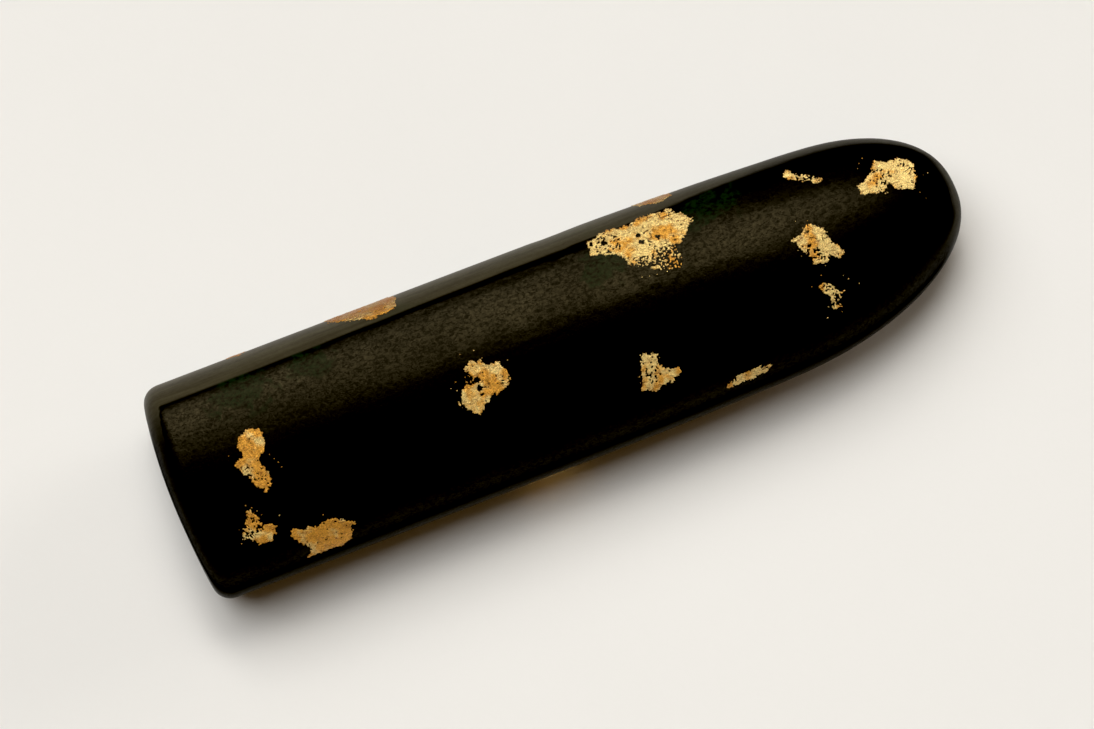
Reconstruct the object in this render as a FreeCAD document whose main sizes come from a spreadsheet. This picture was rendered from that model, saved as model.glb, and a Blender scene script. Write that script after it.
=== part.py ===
import FreeCAD, Part
import math
import os
import Sketcher

# An ink stick: one moulded body of soot and glue, with flakes of gold leaf pressed onto its skin.
# The stick lies flat: +X towards the rounded nose, +Y towards the far side, +Z up, underside at Z = 0.

DIMENSIONS = {
    # ink body
    "stick_length": 90,
    "half_width": 12.1,
    "widest_level": 5.7,
    "crown_rise": 6.5,
    "crown_tilt": 20,
    # nose: how far each outline runs before it is at full size
    "nose_length": 45,
    "nose_lean": 1.2,
    "waist": 1.8,
    "far_reach": 15,
    "far_power": 2.4,
    "near_reach": 24,
    "near_power": 2.2,
    "crown_reach": 34,
    "crown_power": 2.4,
    "base_reach": 18,
    # heel
    "heel_bow_radius": 74,
    "heel_edge_radius": 2.0,
    # gold leaf
    "leaf_thickness": 0.06,
}

# Places of the nose sections, as parts of nose_length behind the tip.
NOSE_STATIONS = (1, 0.88, 0.76, 0.64, 0.53, 0.42, 0.32, 0.23, 0.15, 0.09, 0.045, 0.018, 0.005)

# Outlines of the flakes on the crown, as seen from above: X, Y in mm.
CROWN_LEAVES = {
    "leaf_heel_head": [
        (-36.7, 1.0), (-36.2, 2.3), (-35.1, 2.6), (-34.0, 2.1), (-33.7, 0.9), (-34.3, -0.2),
        (-35.4, -1.1), (-34.8, -2.6), (-34.8, -3.8), (-35.6, -4.2), (-36.3, -3.5), (-36.6, -2.2),
        (-37.6, -0.5), (-36.5, 0.0),
    ],
    "leaf_heel_corner": [
        (-39.5, -7.0), (-38.7, -6.7), (-38.3, -5.4), (-37.7, -5.5), (-37.1, -7.2), (-36.1, -7.8),
        (-36.0, -8.4), (-36.9, -9.0), (-38.2, -9.0), (-38.8, -8.2), (-39.5, -7.9),
    ],
    "leaf_three_lobes": [
        (-11.8, 0.1), (-11.0, 1.0), (-10.1, 0.6), (-9.7, -0.3), (-8.2, -0.1), (-7.8, -1.8), (-8.1, -2.8),
        (-10.2, -3.5), (-12.1, -4.7), (-13.6, -3.1), (-13.0, -2.0), (-12.1, -1.3), (-11.3, -1.9),
        (-11.3, -0.8),
    ],
    "leaf_heart": [
        (6.4, -5.0), (7.4, -5.6), (7.6, -7.0), (9.2, -7.7), (8.8, -8.4), (7.4, -8.6), (6.1, -8.9),
        (4.8, -8.3), (5.4, -6.9), (5.6, -5.8),
    ],
    "leaf_large": [
        (5.1, 7.3), (5.5, 8.8), (8.5, 9.4), (9.9, 8.8), (12.0, 9.4), (14.8, 9.0), (16.0, 7.8),
        (16.6, 7.1), (15.5, 5.7), (14.2, 4.9), (13.7, 2.2), (12.1, 2.6), (10.7, 3.1), (8.9, 4.2),
        (7.7, 6.2), (6.5, 6.6),
    ],
    "leaf_nose_square": [
        (25.4, 0.6), (27.9, 1.8), (29.0, 0.7), (29.3, -0.9), (30.0, -2.4), (29.3, -2.7), (28.6, -2.2),
        (27.8, -2.7), (26.5, -2.7), (26.2, -1.2), (26.0, -0.3),
    ],
    "leaf_nose_crumbs": [
        (26.1, -5.0), (26.9, -4.6), (27.5, -5.2), (27.9, -6.0), (28.8, -6.1), (27.7, -6.7), (27.9, -7.9),
        (26.4, -7.5), (26.9, -6.2), (26.3, -5.7),
    ],
    "leaf_nose_round": [
        (34.2, 2.8), (34.4, 3.9), (36.5, 5.0), (37.3, 6.3), (38.3, 5.7), (39.8, 5.8), (41.3, 4.6),
        (40.9, 3.2), (40.2, 1.8), (38.8, 1.8), (37.6, 3.1), (36.9, 2.3), (35.6, 2.8),
    ],
    "leaf_nose_streak": [
        (27.6, 7.8), (27.7, 8.4), (28.2, 8.4), (28.7, 7.7), (29.7, 7.2), (31.0, 6.1), (30.4, 5.9),
        (29.3, 6.7), (28.1, 7.0),
    ],
}

# Outlines of the flakes on the near shoulder, also as seen from above, but lifted towards the near side.
SHOULDER_LEAVES = {
    "leaf_heel_arrow": [
        (-34.9, -9.4), (-34.4, -8.7), (-32.6, -9.4), (-29.9, -9.2), (-28.3, -10.3), (-29.1, -11.0),
        (-29.1, -11.5), (-34.1, -11.6), (-33.2, -11.0), (-33.9, -10.4),
    ],
    "leaf_near_edge": [
        (13.4, -10.9), (14.6, -10.45), (16.5, -10.3), (18.7, -10.4), (18.4, -10.8), (15.0, -11.0),
    ],
}

# Outlines of the flakes on the two flanks, as seen from the side: X, Z in mm.
FAR_LEAVES = {
    "leaf_far_edge_heel": [
        (-34.6, 6.2), (-34.3, 7.6), (-33.2, 8.3), (-32.4, 7.4), (-32.7, 5.9), (-33.9, 5.4),
    ],
    "leaf_far_edge_long": [
        (-23.3, 6.5), (-23.0, 8.9), (-20.8, 9.7), (-18.8, 10.3), (-15.9, 10.1), (-15.4, 8.6), (-16.8, 6.8),
        (-18.9, 5.4), (-21.5, 5.5),
    ],
    "leaf_far_edge_short": [
        (11.8, 7.2), (12.4, 8.8), (14.4, 9.4), (15.9, 8.8), (15.6, 7.2), (13.8, 6.3),
    ],
    "leaf_far_low": [
        (0.4, 1.6), (0.9, 3.2), (2.8, 3.6), (4.9, 2.9), (4.5, 1.3), (2.3, 0.9),
    ],
}
NEAR_LEAVES = {
    "leaf_near_low": [
        (-10.3, 2.2), (-9.1, 4.0), (-6.4, 4.6), (-3.9, 3.8), (-3.3, 2.0), (-5.2, 1.0), (-8.3, 1.1),
    ],
}

# Outlines of the flakes pressed flush into the flat underside: X, Y in mm.
UNDERSIDE_LEAVES = {
    "leaf_underside_heel": [
        (-36.4, -1.9), (-36.0, 0.6), (-34.1, 1.8), (-31.7, 1.1), (-31.2, -0.8), (-33.0, -2.6), (-35.1, -3.0),
    ],
    "leaf_underside_left": [
        (-16.9, 0.9), (-16.3, 3.3), (-13.6, 3.9), (-11.7, 2.4), (-12.6, 0.5), (-15.0, -0.4),
    ],
    "leaf_underside_middle": [
        (-8.4, -3.4), (-7.5, -1.2), (-4.5, -0.6), (-1.9, -1.9), (-2.5, -3.9), (-5.6, -4.6),
    ],
}

# Outline of the flake under the nose, where the underside starts to rise: X, Y in mm.
NOSE_UNDERSIDE_LEAVES = {
    "leaf_underside_nose": [
        (31.4, 0.3), (32.3, 2.4), (34.9, 2.9), (36.2, 1.0), (34.8, -0.9), (32.7, -1.1),
    ],
}

SPARE = 2
ABOVE_WIDEST = 6
BELOW_WIDEST = 5
FLANK_INSIDE = 6
CLEAR_OF_STICK = 20
SHEET = "dimensions"


def cell(alias):
    return "<<" + SHEET + ">>." + alias


def make_sheet(doc):
    sheet = doc.addObject("Spreadsheet::Sheet", SHEET)
    for row, (alias, value) in enumerate(DIMENSIONS.items(), start=1):
        sheet.set("A" + str(row), alias)
        sheet.set("B" + str(row), str(value))
        sheet.setAlias("B" + str(row), alias)
    doc.recompute()
    return sheet


def origin_plane(body, role):
    return next(plane for plane in body.Origin.OriginFeatures if plane.Role == role)


def attach(sketch, body, role):
    sketch.AttachmentSupport = [(origin_plane(body, role), "")]
    sketch.MapMode = "FlatFace"


# --- sections of the ink body -------------------------------------------------------------------


def eased(distance, reach, power="2"):
    """A quarter of a superellipse: 0 at the tip, 1 where distance has come to reach."""
    left = "(1 - min(1; " + distance + " / " + reach + "))"
    return "((1 - " + left + " ^ " + power + ") ^ (1 / " + power + "))"


def side_width(distance, side_sign, reach, power):
    """Half width on one side of the X axis, at a distance behind the tip."""
    lean = "(" + side_sign + " * " + cell("nose_lean") + ")"
    narrowing = cell("waist") + " * (1 - min(1; " + distance + " / " + cell("nose_length") + ")) ^ 2"
    full = "(" + cell("half_width") + " - " + narrowing + " - " + lean + ")"
    return lean + " + " + full + " * " + eased(distance, cell(reach), cell(power))


def section_sizes(distance):
    """Sizes of one pillow section: a flat base, two lower corners, two shoulders and a crown."""
    far = side_width(distance, "1", "far_reach", "far_power")
    near = side_width(distance, "-1", "near_reach", "near_power")
    half = "((" + far + " + " + near + ") / 2)"
    rise = cell("crown_rise") + " * " + eased(distance, cell("crown_reach"), cell("crown_power"))
    tilt = cell("crown_tilt")
    shoulder_part = "(cos(" + tilt + ") - tan(" + tilt + " / 2) * (1 - sin(" + tilt + ")))"
    return {
        "far": far,
        "near": near,
        "drop": cell("widest_level") + " * " + eased(distance, cell("base_reach")),
        "shoulder": "(" + rise + " - " + half + " * tan(" + tilt + " / 2)) / " + shoulder_part,
    }


def add_arc(sketch, centre_y, centre_z, radius, start, end):
    circle = Part.Circle(FreeCAD.Vector(centre_y, centre_z, 0), FreeCAD.Vector(0, 0, 1), radius)
    arc = Part.ArcOfCircle(circle, math.radians(start), math.radians(end))
    return sketch.addGeometry(arc, False)


def add_dimension(sketch, name, constraint, expression):
    index = sketch.addConstraint(constraint)
    sketch.renameConstraint(index, name)
    sketch.setExpression("Constraints." + name, expression)


def place_section(sketch, body, distance):
    attach(sketch, body, "YZ_Plane")
    sketch.setExpression("AttachmentOffset.Base.y", cell("widest_level"))
    sketch.setExpression("AttachmentOffset.Base.z", cell("stick_length") + " / 2 - " + distance)


def pillow_section(body, name, distance):
    """A closed section, square to X, whose origin is at the widest level."""
    sketch = body.newObject("Sketcher::SketchObject", name)
    place_section(sketch, body, distance)
    sizes = section_sizes(distance)
    far, near, drop, shoulder = (sketch.evalExpression(size) for size in sizes.values())
    tilt = DIMENSIONS["crown_tilt"]
    sine = math.sin(math.radians(tilt))
    middle = (far - near) / 2
    crown = ((far + near) / 2 - shoulder * (1 - sine)) / sine
    crown_centre = (shoulder - crown) * math.cos(math.radians(tilt))

    start = FreeCAD.Vector(drop - near, -drop, 0)
    end = FreeCAD.Vector(far - drop, -drop, 0)
    base = sketch.addGeometry(Part.LineSegment(start, end), False)
    far_corner = add_arc(sketch, far - drop, 0, drop, -90, 0)
    far_shoulder = add_arc(sketch, far - shoulder, 0, shoulder, 0, 90 - tilt)
    crown_arc = add_arc(sketch, middle, crown_centre, crown, 90 - tilt, 90 + tilt)
    near_shoulder = add_arc(sketch, shoulder - near, 0, shoulder, 90 + tilt, 180)
    near_corner = add_arc(sketch, drop - near, 0, drop, 180, 270)

    outline = (base, far_corner, far_shoulder, crown_arc, near_shoulder, near_corner)
    for edge, following in zip(outline, outline[1:] + outline[:1]):
        sketch.addConstraint(Sketcher.Constraint("Tangent", edge, 2, following, 1))
    for edge in (far_corner, far_shoulder, near_shoulder, near_corner):
        sketch.addConstraint(Sketcher.Constraint("PointOnObject", edge, 3, -1))
    sketch.addConstraint(Sketcher.Constraint("Equal", far_shoulder, near_shoulder))
    sketch.addConstraint(Sketcher.Constraint("Equal", far_corner, near_corner))
    constraints = {
        "far": Sketcher.Constraint("DistanceX", -1, 1, far_corner, 2, far),
        "near": Sketcher.Constraint("DistanceX", near_corner, 1, -1, 1, near),
        "drop": Sketcher.Constraint("Radius", far_corner, drop),
        "shoulder": Sketcher.Constraint("Radius", far_shoulder, shoulder),
    }
    for size_name, constraint in constraints.items():
        add_dimension(sketch, size_name, constraint, sizes[size_name])
    crown_angle = Sketcher.Constraint("Angle", crown_arc, math.radians(2 * tilt))
    add_dimension(sketch, "crown", crown_angle, "2 deg * " + cell("crown_tilt"))
    return sketch


def tip_point(body):
    sketch = body.newObject("Sketcher::SketchObject", "nose_tip")
    place_section(sketch, body, "0")
    sketch.addGeometry(Part.Point(FreeCAD.Vector(DIMENSIONS["nose_lean"], 0, 0)), False)
    sketch.addConstraint(Sketcher.Constraint("PointOnObject", 0, 1, -1))
    lean = Sketcher.Constraint("DistanceX", -1, 1, 0, 1, DIMENSIONS["nose_lean"])
    add_dimension(sketch, "lean", lean, cell("nose_lean"))
    return sketch


# --- ink body -----------------------------------------------------------------------------------


def add_barrel(body):
    """The even half of the stick, from its middle to the heel."""
    barrel = body.newObject("PartDesign::Pad", "barrel")
    barrel.Profile = pillow_section(body, "barrel_section", cell("nose_length"))
    barrel.Reversed = True
    barrel.setExpression("Length", cell("stick_length") + " - " + cell("nose_length"))


def add_nose(body):
    """The bullet half, lofted from the middle of the stick to a point that leans to the far side."""
    sections = []
    for number, part in enumerate(NOSE_STATIONS, start=1):
        distance = "(" + cell("nose_length") + " * " + str(part) + ")"
        sections.append(pillow_section(body, "nose_section_" + str(number), distance))
    tip = tip_point(body)
    body.Document.recompute()
    nose = body.newObject("PartDesign::AdditiveLoft", "nose")
    nose.Profile = sections[0]
    nose.Sections = [(section, [""]) for section in sections[1:]] + [(tip, ["Vertex1"])]
    nose.Ruled = False
    return nose


def add_heel_bow(body):
    """The heel end is bowed a little in plan: a long arc takes the corners off the square end."""
    half_length = DIMENSIONS["stick_length"] / 2
    radius = DIMENSIONS["heel_bow_radius"]
    reach = DIMENSIONS["half_width"] + SPARE
    outer = half_length + SPARE
    side = half_length - radius + (radius ** 2 - reach ** 2) ** 0.5
    sketch = body.newObject("Sketcher::SketchObject", "heel_bow_outline")
    attach(sketch, body, "XY_Plane")
    corners = [
        FreeCAD.Vector(-side, -reach, 0),
        FreeCAD.Vector(-outer, -reach, 0),
        FreeCAD.Vector(-outer, reach, 0),
        FreeCAD.Vector(-side, reach, 0),
    ]
    arc = sketch.addGeometry(Part.Arc(corners[3], FreeCAD.Vector(-half_length, 0, 0), corners[0]), False)
    lines = [sketch.addGeometry(Part.LineSegment(a, b), False) for a, b in zip(corners, corners[1:])]
    for line, kind in zip(lines, ("Horizontal", "Vertical", "Horizontal")):
        sketch.addConstraint(Sketcher.Constraint(kind, line))
    for line, following in zip(lines, lines[1:]):
        sketch.addConstraint(Sketcher.Constraint("Coincident", line, 2, following, 1))
    sketch.addConstraint(Sketcher.Constraint("Coincident", lines[0], 1, arc, 2))
    sketch.addConstraint(Sketcher.Constraint("Coincident", lines[2], 2, arc, 1))
    sketch.addConstraint(Sketcher.Constraint("PointOnObject", arc, 3, -1))
    bow = cell("heel_bow_radius")
    half = cell("stick_length") + " / 2"
    add_dimension(sketch, "bow", Sketcher.Constraint("Radius", arc, radius), bow)
    centre = Sketcher.Constraint("DistanceX", -1, 1, arc, 3, radius - half_length)
    add_dimension(sketch, "centre", centre, bow + " - " + half)
    width = Sketcher.Constraint("Distance", lines[1], 2 * reach)
    add_dimension(sketch, "width", width, "2 * (" + cell("half_width") + " + " + str(SPARE) + ")")
    end = Sketcher.Constraint("DistanceX", lines[1], 1, -1, 1, outer)
    add_dimension(sketch, "end", end, half + " + " + str(SPARE))
    pocket = body.newObject("PartDesign::Pocket", "heel_bow")
    pocket.Profile = sketch
    pocket.Midplane = True
    pocket.Length = 2 * CLEAR_OF_STICK
    return pocket


def round_heel_edges(body, pocket):
    """A fillet all round the heel end, where the mould's end plate met its cavity."""
    body.Document.recompute()
    heel = min(pocket.Shape.Faces, key=lambda face: face.CenterOfMass.x)
    names = [
        "Edge" + str(number)
        for number, edge in enumerate(pocket.Shape.Edges, start=1)
        if any(edge.isSame(heel_edge) for heel_edge in heel.Edges)
    ]
    fillet = body.newObject("PartDesign::Fillet", "heel_edge")
    fillet.Base = (pocket, names)
    fillet.setExpression("Radius", cell("heel_edge_radius"))
    return fillet


def add_polygon(sketch, points):
    """A closed outline of straight edges, joined corner to corner."""
    vectors = [FreeCAD.Vector(x, y, 0) for x, y in points]
    edges = []
    for start, end in zip(vectors, vectors[1:] + vectors[:1]):
        edges.append(sketch.addGeometry(Part.LineSegment(start, end), False))
    for edge, following in zip(edges, edges[1:] + edges[:1]):
        sketch.addConstraint(Sketcher.Constraint("Coincident", edge, 2, following, 1))
        sketch.addConstraint(Sketcher.Constraint("Block", edge))


def press_underside(body):
    """Shallow recesses in the flat underside, which the underside flakes fill flush."""
    for name, points in UNDERSIDE_LEAVES.items():
        sketch = body.newObject("Sketcher::SketchObject", name + "_recess_outline")
        attach(sketch, body, "XY_Plane")
        add_polygon(sketch, points)
        recess = body.newObject("PartDesign::Pocket", name + "_recess")
        recess.Profile = sketch
        recess.Reversed = True
        recess.setExpression("Length", cell("leaf_thickness"))


def make_ink_body(doc):
    body = doc.addObject("PartDesign::Body", "ink_body")
    add_barrel(body)
    add_nose(body)
    round_heel_edges(body, add_heel_bow(body))
    press_underside(body)
    doc.recompute()
    return body


# --- gold leaf ----------------------------------------------------------------------------------


def raised_copy(doc, ink_body, name, across, up):
    """The ink body moved by a leaf's thickness: the outer surface of the flakes on one side."""
    copy = doc.addObject("Part::Feature", name)
    copy.Shape = ink_body.Shape.copy()
    copy.setExpression("Placement.Base.y", cell("leaf_thickness") + " * " + str(across))
    copy.setExpression("Placement.Base.z", cell("leaf_thickness") + " * " + str(up))
    return copy


def wrapped_leaf(doc, ink_body, raised, name, points, placement, depth):
    """A flake that follows the curved surface: its outline, driven through the skin of the stick."""
    outline = doc.addObject("Sketcher::SketchObject", name + "_outline")
    outline.Placement = placement
    add_polygon(outline, points)
    prism = doc.addObject("Part::Extrusion", name + "_prism")
    prism.Base = outline
    prism.DirMode = "Normal"
    prism.LengthFwd = depth
    prism.Solid = True
    outer = doc.addObject("Part::Common", name + "_outer")
    outer.Base = prism
    outer.Tool = raised
    leaf = doc.addObject("Part::Cut", name)
    leaf.Base = outer
    leaf.Tool = ink_body
    return leaf


def flush_leaf(doc, name, points):
    """A flake pressed flush into the flat underside."""
    body = doc.addObject("PartDesign::Body", name)
    sketch = body.newObject("Sketcher::SketchObject", name + "_outline")
    attach(sketch, body, "XY_Plane")
    add_polygon(sketch, points)
    pad = body.newObject("PartDesign::Pad", name + "_foil")
    pad.Profile = sketch
    pad.setExpression("Length", cell("leaf_thickness"))
    return body


def make_leaves(doc, ink_body):
    from_above = FreeCAD.Placement(FreeCAD.Vector(0, 0, ABOVE_WIDEST), FreeCAD.Rotation())
    upright = FreeCAD.Rotation(FreeCAD.Vector(1, 0, 0), 90)
    near_side = FreeCAD.Placement(FreeCAD.Vector(0, -FLANK_INSIDE, 0), upright)
    far_side = FreeCAD.Placement(FreeCAD.Vector(0, CLEAR_OF_STICK, 0), upright)
    from_below = FreeCAD.Placement(FreeCAD.Vector(0, 0, -CLEAR_OF_STICK), FreeCAD.Rotation())
    groups = (
        (CROWN_LEAVES, "raised_crown", 0, 1, from_above, CLEAR_OF_STICK),
        (SHOULDER_LEAVES, "raised_shoulder", -0.7, 0.7, from_above, CLEAR_OF_STICK),
        (NEAR_LEAVES, "raised_near_side", -1, 0, near_side, CLEAR_OF_STICK),
        (FAR_LEAVES, "raised_far_side", 0.9, 0.4, far_side, CLEAR_OF_STICK - FLANK_INSIDE),
        (NOSE_UNDERSIDE_LEAVES, "raised_underside", 0, -1, from_below, CLEAR_OF_STICK + BELOW_WIDEST),
    )
    leaves = []
    for outlines, skin_name, across, up, placement, depth in groups:
        raised = raised_copy(doc, ink_body, skin_name, across, up)
        for name, points in outlines.items():
            leaves.append(wrapped_leaf(doc, ink_body, raised, name, points, placement, depth))
    for name, points in UNDERSIDE_LEAVES.items():
        leaves.append(flush_leaf(doc, name, points))
    doc.recompute()
    return leaves


# --- document and files -------------------------------------------------------------------------


def check_recomputed(doc):
    for thing in doc.Objects:
        if "Invalid" in thing.State or "Error" in thing.State:
            raise RuntimeError(thing.Name + " didn't recompute: " + str(thing.State))


def export_part(part):
    shape = part.Shape
    if shape.isNull() or not shape.isValid() or len(shape.Solids) != 1:
        raise RuntimeError(part.Label + " isn't one valid solid")
    shape.exportStep("parts/" + part.Label + ".step")


def main():
    os.makedirs("parts", exist_ok=True)
    doc = FreeCAD.newDocument("ink_stick")
    make_sheet(doc)
    ink_body = make_ink_body(doc)
    leaves = make_leaves(doc, ink_body)
    check_recomputed(doc)
    for part in [ink_body] + leaves:
        export_part(part)


main()
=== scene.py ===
"""Looks of a loose ink stick with flakes of gold leaf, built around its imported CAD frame."""

import math

import bmesh
import bpy
import numpy as np
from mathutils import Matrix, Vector
from mathutils.bvhtree import BVHTree
from mathutils.kdtree import KDTree


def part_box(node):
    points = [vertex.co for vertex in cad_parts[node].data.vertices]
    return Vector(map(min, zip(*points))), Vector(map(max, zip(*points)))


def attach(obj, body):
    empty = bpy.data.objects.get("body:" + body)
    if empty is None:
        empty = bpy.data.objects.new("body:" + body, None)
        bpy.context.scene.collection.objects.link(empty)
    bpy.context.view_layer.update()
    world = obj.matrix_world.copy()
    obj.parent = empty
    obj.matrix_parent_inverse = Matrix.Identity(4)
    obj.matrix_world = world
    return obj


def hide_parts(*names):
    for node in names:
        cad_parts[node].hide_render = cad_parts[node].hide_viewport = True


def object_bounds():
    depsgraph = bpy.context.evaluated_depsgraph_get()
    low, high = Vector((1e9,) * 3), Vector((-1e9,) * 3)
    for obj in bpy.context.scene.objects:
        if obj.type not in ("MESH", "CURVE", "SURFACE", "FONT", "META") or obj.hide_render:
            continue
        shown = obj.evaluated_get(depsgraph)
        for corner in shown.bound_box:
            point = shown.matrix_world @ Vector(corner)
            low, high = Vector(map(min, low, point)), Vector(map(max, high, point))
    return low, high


MM = 0.001

# The view: the stick lies turned a little and is seen from steeply above.
CAMERA_ELEVATION = math.radians(75)
STICK_TURN = math.radians(21.67)
CAMERA_DISTANCE = 375 * MM
VIEW_WIDTH = 116.05 * MM
VIEW_TARGET = Vector((-3.0, -0.83, 5.7)) * MM
SENSOR_WIDTH = 36.0

# The light seen in reflections: a soft window beyond the stick and a low glow past the nose. Azimuths are
# angles round from the X axis. The window's top edge falls towards the heel, and its low edge rises towards
# the nose. All in degrees.
WINDOW_AZIMUTH = 86
WINDOW_WIDTH = 24  # to the heel side
WINDOW_FADE = (-66, -20)  # the stretch over which it fades to the nose side
WINDOW_HEIGHT = (38.5, 66)
WINDOW_TOP_FALL = (-4, 1.5)  # starts here, degrees of height for each degree sideways
WINDOW_LOW_RISE = (-5, 1.1, 10)  # the same, and at most this many degrees
WINDOW_SOFTNESS = 4
WINDOW_STRENGTH = 6.2
WINDOW_COLOUR = (1.03, 0.98, 0.89)
GLOW_AZIMUTH = 14
GLOW_WIDTH = 14
GLOW_TOP = 20
GLOW_STRENGTH = 7.5
GLOW_SOFTNESS = 5
HORIZON = (32, 6, 0.35)  # a faint glow low all round, only in reflections: starts at, full at, strength
ROOM_STRENGTH = 0.015

# The matt light, which makes soft shadows and no glints: a broad sun from the far side, and a weak warm
# fill, light thrown back from the near side.
SUN_COLOUR = (1.0, 0.995, 0.962)
SUN_AZIMUTH = math.radians(120)
SUN_ELEVATION = math.radians(58)
SUN_WIDTH = math.radians(64)
SUN_STRENGTH = 2.32
FILL_COLOUR = (1.0, 0.5, 0.08)
FILL_AZIMUTH = math.radians(-90)
FILL_ELEVATION = math.radians(50)
FILL_WIDTH = math.radians(80)
FILL_STRENGTH = 0.13

# The floor, in m, the wall that the camera sees behind it, and the picture's black point
FLOOR_SIZE = 12.0
FLOOR_COLOUR = (0.86, 0.86, 0.86)
WALL_COLOUR = (0.875, 0.845, 0.775)
BLACK_LEVEL = (0.002, 0.0024, 0.0035)

# The olive dusting on the far side, which also carries a painted reflection of the floor and is kept off the
# near side where shade falls, starts where the ink's surface tilts by about 21 degrees at the heel, 25 at the
# middle and 37 on the nose. Each row: a stretch of the stick in mm, and the cosine, or its change, at its two
# ends.
DUST_AND_SHEEN_BARREL = (-40, 8, 0.936, 0.906)
DUST_AND_SHEEN_NOSE = (6, 26, 0, -0.11)
TIP_START = 30.0  # mm, where the dusting and its painted reflection start to spread round the tip
CROWN_TILT = (0.944, 0.951)  # the cosines between which the far side loses the crown's gloss
GREEN_PATCHES = [(-34.4, 6.9, 2.2), (-27.4, 7.2, 1.6), (6.1, 5.4, 1.9), (18.9, 7.6, 1.9)]  # x, y, radius, mm
PATCH_GROWTH = 1.6

# Colours
INK_BLACK = (0.0012, 0.0011, 0.0010, 1)
INK_GREEN = (0.0032, 0.0090, 0.0035, 1)
INK_TINT = (0.97, 0.80, 0.42, 1)  # of its gloss
# Olive dusting colours; on the far side they also stand in for a painted reflection of the floor.
DUST_AND_SHEEN_DARK = (0.020, 0.0165, 0.0090, 1)
DUST_AND_SHEEN_PALE = (0.040, 0.0350, 0.0200, 1)
DUST_AND_SHEEN_MOSSY = (0.021, 0.027, 0.0125, 1)
GOLD_BRIGHT = (1.0, 0.75, 0.28, 1)
GOLD_DEEP = (0.86, 0.42, 0.062, 1)
GOLD_SHADE = (0.22, 0.08, 0.018, 1)

# Meshes
BODY_CELL = 0.265 * MM
BODY_SMOOTHING = 14  # passes
RELAX, PUSH_BACK = 0.5, -0.52  # the two steps of a pass
LEAF_CELL = 0.05 * MM
PLATE = 0.7 * MM
SMALL_PLATE = 0.17 * MM
LEAF_RISE = 0.03 * MM
LEAF_ROOT = 0.02 * MM
LEAF_MARGIN = 1.6 * MM
RAY_START = 6 * MM
SEEDS_APART = 100  # between one flake and the next

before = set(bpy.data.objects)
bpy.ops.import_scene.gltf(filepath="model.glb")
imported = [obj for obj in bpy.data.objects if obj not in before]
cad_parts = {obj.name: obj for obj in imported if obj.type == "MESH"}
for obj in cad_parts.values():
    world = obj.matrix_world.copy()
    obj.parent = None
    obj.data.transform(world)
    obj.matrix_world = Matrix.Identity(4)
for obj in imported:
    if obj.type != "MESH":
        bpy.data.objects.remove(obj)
cad_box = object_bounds()


# ---------------------------------------------------------------- noise and meshes


def lattice(cells, seed):
    """A fixed number from 0 to 1 for each row of three whole numbers."""
    n = cells[..., 0] * 374761393 + cells[..., 1] * 668265263 + cells[..., 2] * 2147483647
    n = (n + seed * 1274126177) & 0xFFFFFFFF
    n = ((n ^ (n >> 13)) * 1274126177) & 0xFFFFFFFF
    return (n ^ (n >> 16)) / 0xFFFFFFFF


def noise(points, size, seed):
    """Smooth noise from -1 to 1 at points, with features of about the given size."""
    scaled = points / size
    base = np.floor(scaled).astype(np.int64)
    part = scaled - base
    part = part * part * (3 - 2 * part)
    total = 0
    for corner in np.ndindex(2, 2, 2):
        weight = np.prod(np.where(np.array(corner, bool), part, 1 - part), axis=-1)
        total = total + weight * lattice(base + np.array(corner), seed)
    return 2 * total - 1


def mesh_tree(mesh):
    return BVHTree.FromPolygons([v.co for v in mesh.vertices], [p.vertices for p in mesh.polygons])


def coordinates(mesh):
    co = np.empty(len(mesh.vertices) * 3)
    mesh.vertices.foreach_get("co", co)
    return co.reshape(-1, 3)


def vertex_normals(mesh):
    normals = np.empty(len(mesh.vertices) * 3)
    mesh.vertices.foreach_get("normal", normals)
    return normals.reshape(-1, 3)


def set_coordinates(mesh, co):
    mesh.vertices.foreach_set("co", co.ravel())
    mesh.update()


def neighbour_sums(values, pairs):
    """For each row of values, the sum of the rows joined to it by pairs."""
    total = np.zeros_like(values)
    for k in range(values.shape[1]):
        total[:, k] += np.bincount(pairs[:, 0], values[pairs[:, 1], k], len(values))
        total[:, k] += np.bincount(pairs[:, 1], values[pairs[:, 0], k], len(values))
    return total


def add_piece(name, mesh, material, node):
    """A finished piece that rides on the stick and stands for a CAD node."""
    piece = bpy.data.objects.new(name, mesh)
    bpy.context.scene.collection.objects.link(piece)
    mesh.materials.clear()
    mesh.materials.append(material)
    mesh.polygons.foreach_set("use_smooth", [True] * len(mesh.polygons))
    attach(piece, "root")
    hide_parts(node)
    return piece


# ---------------------------------------------------------------- the stick


def even_cells(mesh, cell):
    """The same closed shape with cells of one size."""
    work = bmesh.new()
    work.from_mesh(mesh)
    bmesh.ops.remove_doubles(work, verts=work.verts, dist=0.001 * MM)
    welded = bpy.data.meshes.new("welded")
    work.to_mesh(welded)
    work.free()
    holder = bpy.data.objects.new("holder", welded)
    bpy.context.scene.collection.objects.link(holder)
    remesh = holder.modifiers.new("even_cells", "REMESH")
    remesh.mode = "VOXEL"
    remesh.voxel_size = cell
    bpy.context.view_layer.update()
    depsgraph = bpy.context.evaluated_depsgraph_get()
    result = bpy.data.meshes.new_from_object(holder.evaluated_get(depsgraph))
    bpy.data.objects.remove(holder)
    return result


def smoothed(co, edges, passes):
    """Evens out small facets without shrinking the shape: each pass relaxes and then pushes back."""
    count = np.bincount(edges.ravel(), minlength=len(co))[:, None]
    for step in (RELAX, PUSH_BACK) * passes:
        co = co + step * (neighbour_sums(co, edges) / count - co)
    return co


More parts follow.
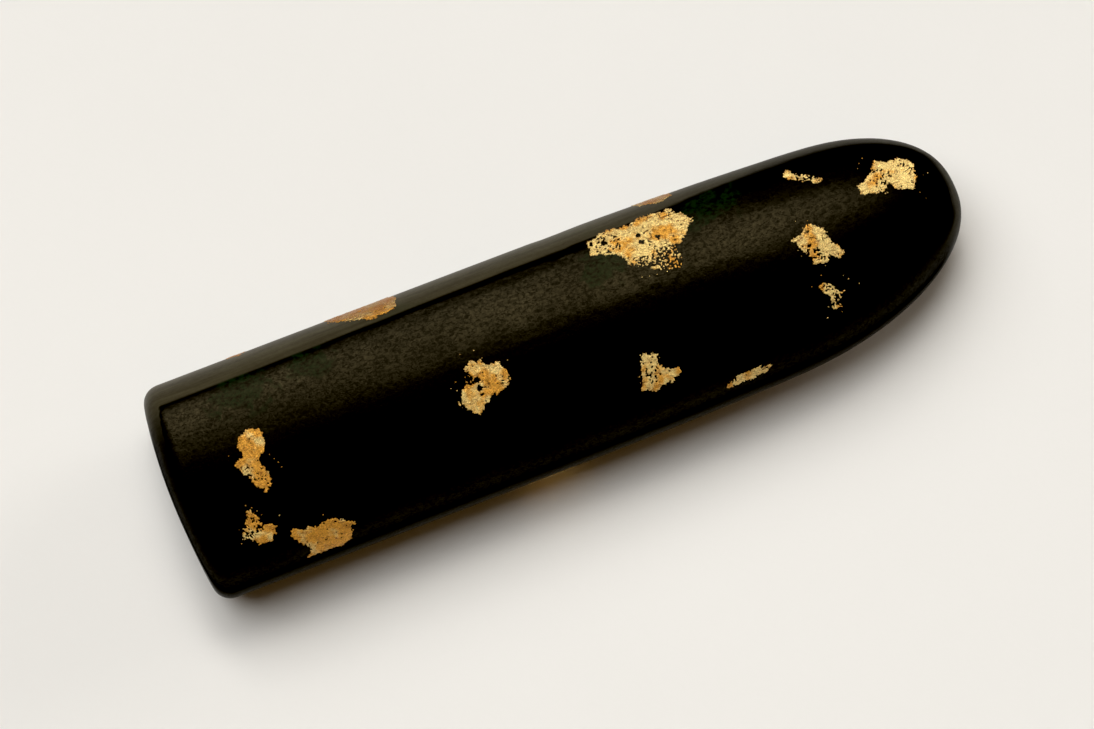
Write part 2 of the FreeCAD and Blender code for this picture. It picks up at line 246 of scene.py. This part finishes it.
def stick_mesh():
    """The moulded ink: the CAD solid with its facets evened out and a faint hand-pressed unevenness."""
    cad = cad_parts["ink_body"].data
    tree = mesh_tree(cad)
    mesh = even_cells(cad, BODY_CELL)
    co = np.array([tree.find_nearest(v.co)[0] for v in mesh.vertices])
    edges = np.empty(len(mesh.edges) * 2, np.int32)
    mesh.edges.foreach_get("vertices", edges)
    co = smoothed(co, edges.reshape(-1, 2), BODY_SMOOTHING)
    set_coordinates(mesh, co)
    along = co * (0.45, 1, 1)
    swell = 0.012 * noise(along, 6 * MM, 11) + 0.005 * noise(along, 1.6 * MM, 12)
    swell *= np.clip(co[:, 2] / (1.5 * MM), 0, 1)
    set_coordinates(mesh, co + vertex_normals(mesh) * (swell * MM)[:, None])
    return mesh


# ---------------------------------------------------------------- the leaf

# How a flake tears, in mm. Its edge moves in or out by whole plates. Small plates whose number is high are
# missing, more of them near the edge, and beyond the edge they stay as crumbs, fewer farther out.
LARGE_STEP, SMALL_STEP, EDGE_SHIFT = 0.15, 0.08, 0.02
HOLE_NUMBER, HOLE_AT_EDGE = 0.995, 0.015
CRUMB_NUMBER, CRUMB_FADE, CRUMB_REACH = 0.95, 0.35, 0.9
CRACK_WIDTH, CRACK_NOISE = 0.022, 0.5  # cracks open between large plates where noise is over the second
SPECK_RADIUS = 0.05

# Loose specks round a flake: (x, y) in mm.
SPECKS = {
    "leaf_heel_head": [(-33.9, -0.8), (-33.6, -1.4), (-33.4, -1.9), (-33.2, -2.5), (-37.9, 0.6)],
    "leaf_heel_corner": [
        (-38.1, -4.9), (-37.6, -5.3), (-37.2, -5.8), (-36.9, -6.3), (-39.9, -8.3), (-35.2, -7.0),
    ],
    "leaf_heel_arrow": [(-31.0, -8.6)],
    "leaf_three_lobes": [
        (-13.9, -1.2), (-13.4, -1.6), (-13.2, -0.7), (-12.1, -0.6), (-11.7, -1.2), (-9.7, 0.7),
        (-11.7, 1.9), (-10.2, 1.8), (-9.4, 2.7), (-7.3, -0.5),
    ],
    "leaf_heart": [(4.9, -7.0), (5.8, -5.0), (7.6, -5.9), (4.8, -7.6)],
    "leaf_large": [(9.1, 2.7), (9.9, 2.5), (10.7, 2.4), (11.8, 2.3)],
    "leaf_nose_square": [
        (25.5, -0.6), (25.6, -1.3), (29.0, 0.8), (27.7, 2.1), (26.5, 2.5), (27.6, -3.1), (26.8, -3.9),
    ],
    "leaf_nose_crumbs": [
        (25.4, -4.7), (29.0, -4.7), (29.4, -5.2), (30.3, -6.0), (28.4, -6.2), (26.3, -7.2),
        (27.5, -8.1), (25.8, -8.2),
    ],
    "leaf_nose_round": [
        (35.2, 5.9), (35.6, 6.4), (36.2, 6.9), (40.5, 1.2), (40.9, 0.4), (41.7, 3.0), (42.3, 3.1),
    ],
}
# Where a flake is broken up: (x, y, radius in mm, share of it that is left).
BROKEN = {
    "leaf_three_lobes": [(-11.0, -1.3, 0.3, 0), (-11.1, -2.2, 0.3, 0), (-11.1, -2.9, 0.25, 0.3)],
    "leaf_heart": [(6.3, -7.2, 0.9, 0.75)],
    "leaf_large": [
        (6.9, 8.0, 0.3, 0.1), (5.6, 8.3, 0.25, 0.1), (8.2, 8.2, 0.25, 0.1), (10.6, 7.3, 0.3, 0.1),
        (10.6, 6.4, 0.3, 0.2), (12.4, 6.3, 0.25, 0.2), (7.1, 7.6, 1.5, 0.8), (9.9, 3.8, 1.1, 0.5),
        (13.0, 3.4, 1.7, 0.45), (11.6, 4.1, 0.9, 0.6),
    ],
    "leaf_nose_square": [(27.3, -1.2, 0.3, 0.2), (27.7, -2.2, 0.3, 0.2), (26.4, -1.6, 1.4, 0.8)],
    "leaf_nose_crumbs": [(27.5, -5.6, 1.6, 0.62), (27.1, -7.4, 1.2, 0.5)],
    "leaf_nose_round": [(40.0, 4.8, 0.25, 0.2), (37.5, 2.8, 0.35, 0.1), (37.1, 4.2, 1.2, 0.75)],
    "leaf_nose_streak": [(29.6, 7.2, 1.6, 0.7)],
    "leaf_heel_corner": [(-38.2, -6.5, 1.6, 0.7)],
}


def leaf_axes(node, body_tree):
    """The middle of a flake, its outward direction, and two directions across it."""
    low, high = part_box(node)
    centre = (low + high) / 2
    outward = body_tree.find_nearest(centre)[1].normalized()
    along = Vector((1, 0, 0))
    along = (along - outward * along.dot(outward)).normalized()
    return centre, outward, along, outward.cross(along)


def signed_distance(inside, cell):
    """Distance to the outline on a grid, positive inside."""
    edge = np.zeros_like(inside)
    edge[:-1] |= inside[:-1] != inside[1:]
    edge[:, :-1] |= inside[:, :-1] != inside[:, 1:]
    points = np.argwhere(edge)
    tree = KDTree(len(points))
    for i, (a, b) in enumerate(points):
        tree.insert((a, b, 0), i)
    tree.balance()
    rows, columns = inside.shape
    distance = np.array([[tree.find((a, b, 0))[2] for b in range(columns)] for a in range(rows)])
    return np.where(inside, distance, -distance) * cell


def plates(a, b, size, seed):
    """Angular plates of about the given size. A point gets its plate's middle, number and edge distance."""
    cell_a, cell_b = np.floor(a / size).astype(np.int64), np.floor(b / size).astype(np.int64)
    nearest, second = np.full(a.shape, np.inf), np.full(a.shape, np.inf)
    middle_a, middle_b, number = np.zeros(a.shape), np.zeros(a.shape), np.zeros(a.shape)
    for step_a, step_b in ((i, j) for i in (-1, 0, 1) for j in (-1, 0, 1)):
        key = np.stack([cell_a + step_a, cell_b + step_b, np.zeros_like(cell_a)], -1)
        point_a = (key[..., 0] + lattice(key, seed)) * size
        point_b = (key[..., 1] + lattice(key, seed + 1)) * size
        apart = np.hypot(a - point_a, b - point_b)
        closer = apart < nearest
        second = np.where(closer, nearest, np.minimum(second, apart))
        nearest = np.where(closer, apart, nearest)
        middle_a, middle_b = np.where(closer, point_a, middle_a), np.where(closer, point_b, middle_b)
        number = np.where(closer, lattice(key, seed + 2), number)
    return middle_a, middle_b, number, (second - nearest) / 2


def torn(field, a, b, points, node, seed):
    """The cells of a flake that are left once it has torn along small plates, cracked and shed crumbs."""

    def at_middle(values, middle_a, middle_b):
        row = np.clip(np.rint((middle_a - a[0, 0]) / LEAF_CELL).astype(int), 0, a.shape[0] - 1)
        column = np.clip(np.rint((middle_b - b[0, 0]) / LEAF_CELL).astype(int), 0, a.shape[1] - 1)
        return values[row, column]

    _, _, large, seam = plates(a, b, PLATE, seed)
    middle_a, middle_b, small, _ = plates(a, b, SMALL_PLATE, seed + 3)
    depth = at_middle(field, middle_a, middle_b) / MM
    score = depth + LARGE_STEP * (2 * large - 1) + SMALL_STEP * (2 * small - 1) + EDGE_SHIFT
    score = np.where(small > HOLE_NUMBER - HOLE_AT_EDGE * np.clip(1 - depth, 0, 1), -1, score)
    crumb = (depth < 0) & (small > CRUMB_NUMBER - CRUMB_FADE * depth) & (depth > -CRUMB_REACH)
    score = np.where(crumb, 1, score)
    spot_x = at_middle(points[..., 0], middle_a, middle_b)
    spot_y = at_middle(points[..., 1], middle_a, middle_b)
    for x, y, radius, share in BROKEN.get(node, []):
        within = np.hypot(spot_x / MM - x, spot_y / MM - y) < radius
        score = np.where(within & (small > share), -1, score)
    for x, y in SPECKS.get(node, []):
        radius = SPECK_RADIUS + 0.06 * noise(points, 0.08 * MM, seed + 5) ** 2 + 0.02 * (x % 0.5)
        score = np.where(np.hypot(points[..., 0] / MM - x, points[..., 1] / MM - y) < radius, 1, score)
    opened = noise(points, 1.3 * MM, seed + 8) + 0.5 * noise(points, 0.5 * MM, seed + 9)
    return (score > 0) & ~((seam < CRACK_WIDTH * MM) & (opened > CRACK_NOISE))


def without_corner_touches(kept):
    """Fills a cell wherever two kept cells would touch only at a corner."""
    kept = kept.copy()
    for _ in range(6):
        a, b, c, d = kept[:-1, :-1], kept[1:, 1:], kept[1:, :-1], kept[:-1, 1:]
        first = a & b & ~c & ~d
        second = c & d & ~a & ~b
        if not first.any() and not second.any():
            break
        kept[1:, :-1] |= first
        kept[:-1, :-1] |= second
    return kept


def surface_point(tree, start, outward):
    """Where the line through start meets the body from outside: (point, normal)."""
    hit, normal, _, _ = tree.ray_cast(start + outward * RAY_START, -outward)
    if hit is None:
        hit, normal, _, _ = tree.find_nearest(start)
    return hit, normal


def leaf_mesh(node, body_tree, seed):
    """A thin crinkled flake with a torn edge, laid on the body where its CAD node lies."""
    centre, outward, along, across = leaf_axes(node, body_tree)
    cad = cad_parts[node].data
    cad_tree = mesh_tree(cad)
    relative = coordinates(cad) - np.array(centre)
    spans = [relative @ np.array(along), relative @ np.array(across)]
    starts = [s.min() - LEAF_MARGIN for s in spans]
    counts = [int((s.max() - s.min() + 2 * LEAF_MARGIN) / LEAF_CELL) + 1 for s in spans]
    a = starts[0] + LEAF_CELL * np.arange(counts[0])
    b = starts[1] + LEAF_CELL * np.arange(counts[1])
    grid_a, grid_b = np.meshgrid(a, b, indexing="ij")
    points = np.array(centre) + grid_a[..., None] * np.array(along) + grid_b[..., None] * np.array(across)
    lifted = points + np.array(outward) * RAY_START
    inside = [[cad_tree.ray_cast(Vector(p), -outward)[0] is not None for p in row] for row in lifted]
    inside = np.array(inside)
    left = torn(signed_distance(inside, LEAF_CELL), grid_a, grid_b, points, node, seed)
    kept = without_corner_touches(left[:-1, :-1])
    return flake_from_cells(kept, grid_a, grid_b, (centre, outward, along, across), body_tree, seed)


def flake_from_cells(kept, grid_a, grid_b, axes, body_tree, seed):
    """A closed thin mesh over the kept cells of a grid."""
    centre, outward, along, across = axes
    cells = np.argwhere(kept)
    columns = kept.shape[1] + 1
    corners = np.stack([cells @ (columns, 1) + k for k in (0, columns, columns + 1, 1)], 1)
    used, quads = np.unique(corners, return_inverse=True)
    quads = quads.reshape(-1, 4)
    flat = np.stack([grid_a.ravel()[used], grid_b.ravel()[used]], 1)
    sides = np.concatenate([quads[:, [k, (k + 1) % 4]] for k in range(4)])
    keys = np.sort(sides, 1) @ (len(used), 1)
    _, first, seen = np.unique(keys, return_index=True, return_counts=True)
    rim = sides[first[seen == 1]]
    flat = relaxed_rim(flat, rim)
    top, bottom = [], []
    on_rim = np.zeros(len(used), bool)
    on_rim[rim.ravel()] = True
    placed = [surface_point(body_tree, centre + along * p[0] + across * p[1], outward) for p in flat]
    middle_a, middle_b, large, _ = plates(flat[:, 0], flat[:, 1], PLATE, seed)
    _, _, small, _ = plates(flat[:, 0], flat[:, 1], SMALL_PLATE, seed + 3)
    spots = np.array([p for p, _ in placed])
    slope_a, slope_b = large - 0.5, 2 * large % 1 - 0.5
    tilt = 0.10 * ((flat[:, 0] - middle_a) * slope_a + (flat[:, 1] - middle_b) * slope_b)
    wrinkles = np.abs(noise(spots * (0.5, 1, 1), 0.28 * MM, seed + 20))
    rise = LEAF_RISE * (0.5 + 0.6 * large + 0.35 * small + 1.0 * wrinkles) + tilt
    rise = np.maximum(rise, 0.3 * LEAF_RISE)
    rise[on_rim] *= 0.6
    for (spot, normal), height in zip(placed, rise):
        top.append(spot + normal * height)
        bottom.append(spot - normal * LEAF_ROOT)
    count = len(used)
    faces = [list(q) for q in quads]
    faces += [[q + count for q in quad[::-1]] for quad in quads]
    faces += [[s[1], s[0], s[0] + count, s[1] + count] for s in rim]
    mesh = bpy.data.meshes.new("flake")
    mesh.from_pydata(top + bottom, [], [[int(i) for i in face] for face in faces])
    mesh.update()
    return mesh


def relaxed_rim(flat, rim):
    """Takes the steps of the grid out of a flake's edge."""
    count = np.bincount(rim.ravel(), minlength=len(flat))[:, None]
    for _ in range(2):
        middle = neighbour_sums(flat, rim) / np.maximum(count, 1)
        flat = np.where(count > 0, (flat + middle) / 2, flat)
    return flat


# ---------------------------------------------------------------- materials


class Nodes:
    """Short calls for building one node tree."""

    def __init__(self, tree):
        self.tree = tree
        tree.nodes.clear()

    def add(self, kind, inputs=(), **settings):
        node = self.tree.nodes.new(kind)
        for name, value in settings.items():
            setattr(node, name, value)
        for name, value in dict(inputs).items():
            if isinstance(value, bpy.types.NodeSocket):
                self.tree.links.new(value, node.inputs[name])
            else:
                node.inputs[name].default_value = value
        return node

    def math(self, operation, first, second=0.0):
        return self.add("ShaderNodeMath", {0: first, 1: second}, operation=operation).outputs[0]

    def vector(self, operation, inputs):
        return self.add("ShaderNodeVectorMath", inputs, operation=operation)

    def axes(self, vector):
        """The X, Y and Z of a vector."""
        return self.add("ShaderNodeSeparateXYZ", {0: vector}).outputs

    def ramp(self, value, low, high, to_low=0.0, to_high=1.0):
        inputs = {"Value": value, "From Min": low, "From Max": high, "To Min": to_low, "To Max": to_high}
        node = self.add("ShaderNodeMapRange", inputs, interpolation_type="SMOOTHSTEP")
        return node.outputs["Result"]

    def mix(self, factor, first, second, blend="MIX"):
        node = self.add("ShaderNodeMix", data_type="RGBA", blend_type=blend)
        for index, value in ((0, factor), (6, first), (7, second)):
            if isinstance(value, bpy.types.NodeSocket):
                self.tree.links.new(value, node.inputs[index])
            else:
                node.inputs[index].default_value = value
        return node.outputs[2]

    def mix_value(self, factor, first, second):
        return self.add("ShaderNodeMix", {0: factor, 2: first, 3: second}).outputs[0]

    def grey(self, value):
        return self.add("ShaderNodeCombineColor", {0: value, 1: value, 2: value}).outputs[0]

    def position(self, stretch=(1, 1, 1)):
        """Object coordinates in mm, stretched."""
        source = self.add("ShaderNodeTexCoord").outputs["Object"]
        scale = [s / MM for s in stretch]
        return self.add("ShaderNodeMapping", {"Vector": source, "Scale": scale}).outputs["Vector"]

    def noise(self, size, stretch=(1, 1, 1), detail=3.0, rough=0.55, distortion=0.0):
        """Noise from 0 to 1 with features of about size mm."""
        inputs = {"Vector": self.position(stretch), "Scale": 1 / size, "Detail": detail,
                  "Roughness": rough, "Distortion": distortion}
        return self.add("ShaderNodeTexNoise", inputs).outputs["Fac"]

    def cell_edges(self, size, stretch=(1, 1, 1)):
        """Distance to the edge in crooked cells of about size mm, as a part of that size."""
        position = self.position(stretch)
        inputs = {"Vector": position, "Scale": 1.6 / size, "Detail": 2.0}
        crook = self.add("ShaderNodeTexNoise", inputs).outputs["Color"]
        crook = self.vector("SUBTRACT", {0: crook, 1: (0.5, 0.5, 0.5)}).outputs[0]
        vector = self.vector("MULTIPLY_ADD", {0: crook, 1: (size,) * 3, 2: position}).outputs[0]
        inputs = {"Vector": vector, "Scale": 1 / size}
        return self.add("ShaderNodeTexVoronoi", inputs, feature="DISTANCE_TO_EDGE").outputs["Distance"]

    def bump(self, height, distance, strength=1.0, normal=None):
        inputs = {"Height": height, "Distance": distance * MM, "Strength": strength}
        if normal is not None:
            inputs["Normal"] = normal
        return self.add("ShaderNodeBump", inputs).outputs["Normal"]


def new_material(name):
    material = bpy.data.materials.new(name)
    material.use_nodes = True
    return material, Nodes(material.node_tree)


def finish_material(n, inputs):
    surface = n.add("ShaderNodeBsdfPrincipled", inputs)
    n.add("ShaderNodeOutputMaterial", {"Surface": surface.outputs["BSDF"]})


def spots(n, places):
    """Soft round patches at places (x, y, radius in mm) seen from above, from 0 to 1."""
    total = 0.0
    for x, y, radius in places:
        offset = n.vector("SUBTRACT", {0: n.position((0.6, 1, 0)), 1: (0.6 * x, y, 0)}).outputs[0]
        apart = n.vector("LENGTH", {0: offset}).outputs["Value"]
        apart = n.math("ADD", apart, n.ramp(n.noise(1.5), 0.3, 0.7, -0.5 * radius, 0.5 * radius))
        patch = n.ramp(apart, radius / PATCH_GROWTH, radius * PATCH_GROWTH / 1.3, 1.0, 0.0)
        total = n.math("MAXIMUM", total, patch)
    return total


def ink_material():
    """Dry pressed ink: a rubbed, near black, finely skin-grained crown; an olive dusting and painted
    reflection on the far side.
    """
    material, n = new_material("ink")
    upright = n.axes(n.add("ShaderNodeTexCoord").outputs["Normal"])["Z"]
    place = n.axes(n.position())
    into_tip = n.math("MAXIMUM", n.math("SUBTRACT", place["X"], TIP_START), 0.0)
    from_heel = n.ramp(place["X"], -43.5, -40.5, 6.5, 0.0)
    across = n.math("ADD", place["Y"], n.math("MULTIPLY", into_tip, 0.45))
    # Painted light: the far side, where the light falls, gets the pale colour; the near side in shade stays
    # black.
    far = n.ramp(n.math("SUBTRACT", across, from_heel), -3.0, 4.0)
    limit = n.math("ADD", n.ramp(place["X"], *DUST_AND_SHEEN_BARREL), n.ramp(place["X"], *DUST_AND_SHEEN_NOSE))
    softness = n.ramp(place["X"], 6, 32, 0.018, 0.13)
    steep = n.ramp(upright, n.math("SUBTRACT", limit, softness), n.math("ADD", limit, 0.004), 1.0, 0.0)
    off_heel = n.ramp(place["X"], -44.6, -43.0, 0.25, 1.0)
    flank = n.math("MULTIPLY", n.ramp(upright, 0.34, 0.0, 0.0, 0.5), off_heel)
    side = n.math("MAXIMUM", n.math("MULTIPLY", steep, far), flank)
    rubbed = n.math("SUBTRACT", 1.0, n.math("MULTIPLY", far, n.ramp(upright, *CROWN_TILT, 1.0, 0.0)))
    rubbed = n.math("MULTIPLY", rubbed, n.ramp(upright, 0.35, 0.75))
    towards_tip = n.ramp(place["X"], 4, 32, 1.0, 0.42)

    broad = n.noise(5.0, (0.5, 1, 1), 3.0)
    grain = n.noise(0.36, (0.75, 1, 1), 4.0, 0.6, 0.4)
    fine = n.noise(0.14, (0.7, 1, 1), 2.0)
    streaks = n.noise(0.6, (0.05, 1, 1), 4.0, 0.65)
    green = n.math("MULTIPLY", spots(n, GREEN_PATCHES), n.ramp(grain, 0.35, 0.6))

    crown_colour = n.mix(green, INK_BLACK, INK_GREEN)
    # Olive dusting with a painted reflection of the floor, dimmer towards the tip.
    dust_and_sheen = n.mix(n.ramp(streaks, 0.3, 0.7), DUST_AND_SHEEN_DARK, DUST_AND_SHEEN_PALE)
    dust_and_sheen = n.mix(n.ramp(broad, 0.55, 0.75, 0, 0.5), dust_and_sheen, DUST_AND_SHEEN_MOSSY)
    dust_and_sheen = n.mix(1.0, dust_and_sheen, n.grey(towards_tip), "MULTIPLY")

    shine = n.math("MULTIPLY", n.ramp(grain, 0.32, 0.68, 0.026, 0.104), n.ramp(broad, 0.3, 0.7, 0.7, 1.25))
    shine = n.math("MULTIPLY", shine, n.ramp(fine, 0.3, 0.7, 0.6, 1.4))
    shine = n.math("MULTIPLY", shine, n.ramp(green, 0.0, 1.0, 1.0, 0.5))
    side_shine = n.math("MULTIPLY", n.ramp(far, 0.0, 1.0, 0.02, 0.195), n.ramp(grain, 0.3, 0.7, 0.78, 1.22))
    side_shine = n.math("MULTIPLY", towards_tip, side_shine)

    normal = n.bump(streaks, 0.004)
    normal = n.bump(grain, 0.007, normal=normal)
    finish_material(n, {
        "Base Color": n.mix(side, crown_colour, dust_and_sheen),
        "Roughness": n.ramp(side, 0.0, 1.0, 0.17, 0.42),
        "Specular IOR Level": n.mix_value(side, n.math("MULTIPLY", shine, rubbed), side_shine),
        "Specular Tint": INK_TINT,
        "Normal": n.bump(fine, 0.003, normal=normal),
    })
    return material


def gold_material():
    """Beaten gold leaf, pressed on and crumpled: bright small plates, with painted reddish brown shade in the
    creases.
    """
    material, n = new_material("gold_leaf")
    broad = n.noise(1.8, detail=2.0)
    crumple = n.noise(0.24, (0.55, 1, 1), 4.0, 0.7, 1.2)
    fine = n.noise(0.09, detail=3.0)
    plate = n.cell_edges(0.33, (0.7, 1, 1))
    outward = n.axes(n.add("ShaderNodeTexCoord").outputs["Normal"])
    along = n.axes(n.position())["X"]

    redder = n.math("ADD", broad, n.ramp(along, -30, 5, 0.10, -0.04))
    colour = n.mix(n.ramp(redder, 0.42, 0.60), GOLD_BRIGHT, GOLD_DEEP)
    # Painted shade: gold on steep slopes facing the far side is darkened towards the shade colour.
    steep = n.ramp(outward["Z"], 0.74, 0.93, 1.0, 0.0)
    painted_shade_far_slope = n.math("MULTIPLY", steep, n.ramp(outward["Y"], 0.0, 0.2))
    colour = n.mix(n.math("MULTIPLY", painted_shade_far_slope, 0.75), colour, GOLD_SHADE)
    # Painted shade in the creases: plate edges and crumple hollows darkened towards the shade colour.
    where_creased = n.ramp(n.noise(0.7), 0.42, 0.62, 0.1, 0.6)
    crease_shade = n.math("MULTIPLY", n.ramp(plate, 0.16, 0.02), where_creased)
    crease_shade = n.math("MAXIMUM", crease_shade, n.ramp(crumple, 0.48, 0.38, 0, 0.85))
    colour = n.mix(crease_shade, colour, GOLD_SHADE)

    surface = n.bump(plate, 0.03)
    surface = n.bump(crumple, 0.075, normal=surface)
    finish_material(n, {
        "Base Color": colour,
        "Metallic": n.ramp(outward["Y"], -0.25, 0.02, 0.38, 0.68),
        "Specular IOR Level": 0.2,
        "Roughness": n.ramp(crumple, 0.3, 0.7, 0.40, 0.20),
        "Normal": n.bump(fine, 0.02, normal=surface),
    })
    return material


def floor_material():
    """Plain pale paper with a barely visible tooth."""
    material, n = new_material("floor")
    tooth = n.noise(0.5, detail=2.0)
    tone = n.ramp(n.noise(60.0), 0.3, 0.7, 0.985, 1.0)
    colour = n.mix(1.0, (*FLOOR_COLOUR, 1), n.grey(tone), "MULTIPLY")
    finish_material(n, {
        "Base Color": colour,
        "Roughness": 0.9,
        "Specular IOR Level": 0.05,
        "Normal": n.bump(tooth, 0.02, 0.3),
    })
    return material


# ---------------------------------------------------------------- the stage


def add_floor():
    mesh = bpy.data.meshes.new("floor")
    half = FLOOR_SIZE / 2
    corners = [(-half, -half, 0), (half, -half, 0), (half, half, 0), (-half, half, 0)]
    mesh.from_pydata(corners, [], [(0, 1, 2, 3)])
    mesh.materials.append(floor_material())
    floor = bpy.data.objects.new("floor", mesh)
    floor.location.z = cad_box[0][2]
    bpy.context.scene.collection.objects.link(floor)


def sky_angles(n, azimuth):
    """Height above the horizon and angle sideways from azimuth of the direction looked in, in degrees."""
    looked_in = n.add("ShaderNodeTexCoord").outputs["Generated"]
    inputs = {"Vector": looked_in, "Angle": -math.radians(azimuth)}
    turned = n.add("ShaderNodeVectorRotate", inputs, rotation_type="Z_AXIS").outputs[0]
    axes = n.axes(turned)
    height = n.math("MULTIPLY", n.math("ARCSINE", axes["Z"]), math.degrees(1))
    sideways = n.math("MULTIPLY", n.math("ARCTAN2", axes["Y"], axes["X"]), math.degrees(1))
    return height, sideways


def window_light(n):
    """The window: a soft-edged patch of the sky with two slanting edges."""
    height, sideways = sky_angles(n, WINDOW_AZIMUTH)
    low, high = WINDOW_HEIGHT
    soft = WINDOW_SOFTNESS
    start, slope = WINDOW_TOP_FALL
    fall = n.math("MULTIPLY", n.math("MAXIMUM", n.math("SUBTRACT", sideways, start), 0.0), slope)
    start, slope, most = WINDOW_LOW_RISE
    rise = n.math("MULTIPLY", n.math("MAXIMUM", n.math("SUBTRACT", start, sideways), 0.0), slope)
    rise = n.math("MINIMUM", rise, most)
    above = n.ramp(n.math("SUBTRACT", height, rise), low - soft / 3, low + soft / 3)
    below = n.ramp(n.math("ADD", height, fall), high - soft, high + soft, 1.0, 0.0)
    left = n.ramp(sideways, WINDOW_WIDTH - soft, WINDOW_WIDTH + soft, 1.0, 0.0)
    right = n.ramp(sideways, *WINDOW_FADE)
    patch = n.math("MULTIPLY", n.math("MULTIPLY", above, below), n.math("MULTIPLY", left, right))
    return n.math("MULTIPLY", patch, WINDOW_STRENGTH)


def low_glow(n):
    """A low patch of light past the nose."""
    height, sideways = sky_angles(n, GLOW_AZIMUTH)
    below = n.ramp(height, GLOW_TOP - GLOW_SOFTNESS, GLOW_TOP + GLOW_SOFTNESS, 1.0, 0.0)
    off_middle = n.math("ABSOLUTE", sideways)
    within = n.ramp(off_middle, GLOW_WIDTH - GLOW_SOFTNESS, GLOW_WIDTH + GLOW_SOFTNESS, 1.0, 0.0)
    return n.math("MULTIPLY", n.math("MULTIPLY", below, within), GLOW_STRENGTH)


def add_world():
    """Soft patches of light in a dark room. The camera sees a plain pale wall instead."""
    world = bpy.data.worlds.new("studio")
    world.use_nodes = True
    bpy.context.scene.world = world
    n = Nodes(world.node_tree)
    patches = n.math("ADD", window_light(n), low_glow(n))
    strength = n.math("ADD", patches, ROOM_STRENGTH)
    height, _ = sky_angles(n, 0)
    glossy = n.add("ShaderNodeLightPath").outputs["Is Glossy Ray"]
    start, full, most = HORIZON
    strength = n.math("ADD", strength, n.math("MULTIPLY", glossy, n.ramp(height, start, full, 0.0, most)))
    light = n.add("ShaderNodeBackground", {"Color": (*WINDOW_COLOUR, 1), "Strength": strength})
    wall = n.add("ShaderNodeBackground", {"Color": (*WALL_COLOUR, 1), "Strength": 1.0})
    seen = n.add("ShaderNodeLightPath").outputs["Is Camera Ray"]
    both = n.add("ShaderNodeMixShader", {0: seen, 1: light.outputs[0], 2: wall.outputs[0]})
    n.add("ShaderNodeOutputWorld", {"Surface": both.outputs[0]})


def direction(azimuth, elevation):
    """The direction at an angle round from the X axis and an angle up from the floor."""
    level = math.cos(elevation)
    return Vector((level * math.cos(azimuth), level * math.sin(azimuth), math.sin(elevation)))


def add_matt_light(name, colour, strength, azimuth, elevation, width):
    """A broad light that makes soft shadows and no glints."""
    data = bpy.data.lights.new(name, "SUN")
    data.energy = strength
    data.color = colour
    data.angle = width
    light = bpy.data.objects.new(name, data)
    towards = direction(azimuth, elevation)
    light.rotation_euler = towards.to_track_quat("Z", "Y").to_euler()
    light.visible_camera = False
    light.visible_glossy = False
    bpy.context.scene.collection.objects.link(light)


def add_camera():
    data = bpy.data.cameras.new("camera")
    data.sensor_width = SENSOR_WIDTH
    data.lens = SENSOR_WIDTH * CAMERA_DISTANCE / VIEW_WIDTH
    data.clip_start = 0.01
    camera = bpy.data.objects.new("camera", data)
    back = direction(math.radians(-90) - STICK_TURN, CAMERA_ELEVATION)
    camera.location = VIEW_TARGET + back * CAMERA_DISTANCE
    camera.rotation_euler = (-back).to_track_quat("-Z", "Y").to_euler()
    bpy.context.scene.collection.objects.link(camera)
    bpy.context.scene.camera = camera


def set_tones():
    """The plain view transform, with the black point a little up, least in red, so that blacks stay warm."""
    view = bpy.context.scene.view_settings
    view.view_transform = "Standard"
    view.use_curve_mapping = True
    view.curve_mapping.black_level = BLACK_LEVEL
    view.curve_mapping.update()


# ---------------------------------------------------------------- all of it

add_camera()
add_world()
add_matt_light("sun", SUN_COLOUR, SUN_STRENGTH, SUN_AZIMUTH, SUN_ELEVATION, SUN_WIDTH)
add_matt_light("fill", FILL_COLOUR, FILL_STRENGTH, FILL_AZIMUTH, FILL_ELEVATION, FILL_WIDTH)
add_floor()
set_tones()

ink = ink_material()
gold = gold_material()
body = stick_mesh()
add_piece("ink_stick", body, ink, "ink_body")
body_tree = mesh_tree(body)
leaves = sorted(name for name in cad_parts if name.startswith("leaf_"))
for number, leaf in enumerate(leaves):
    mesh = leaf_mesh(leaf, body_tree, SEEDS_APART * number)
    add_piece(leaf.replace("leaf_", "gold_"), mesh, gold, leaf)
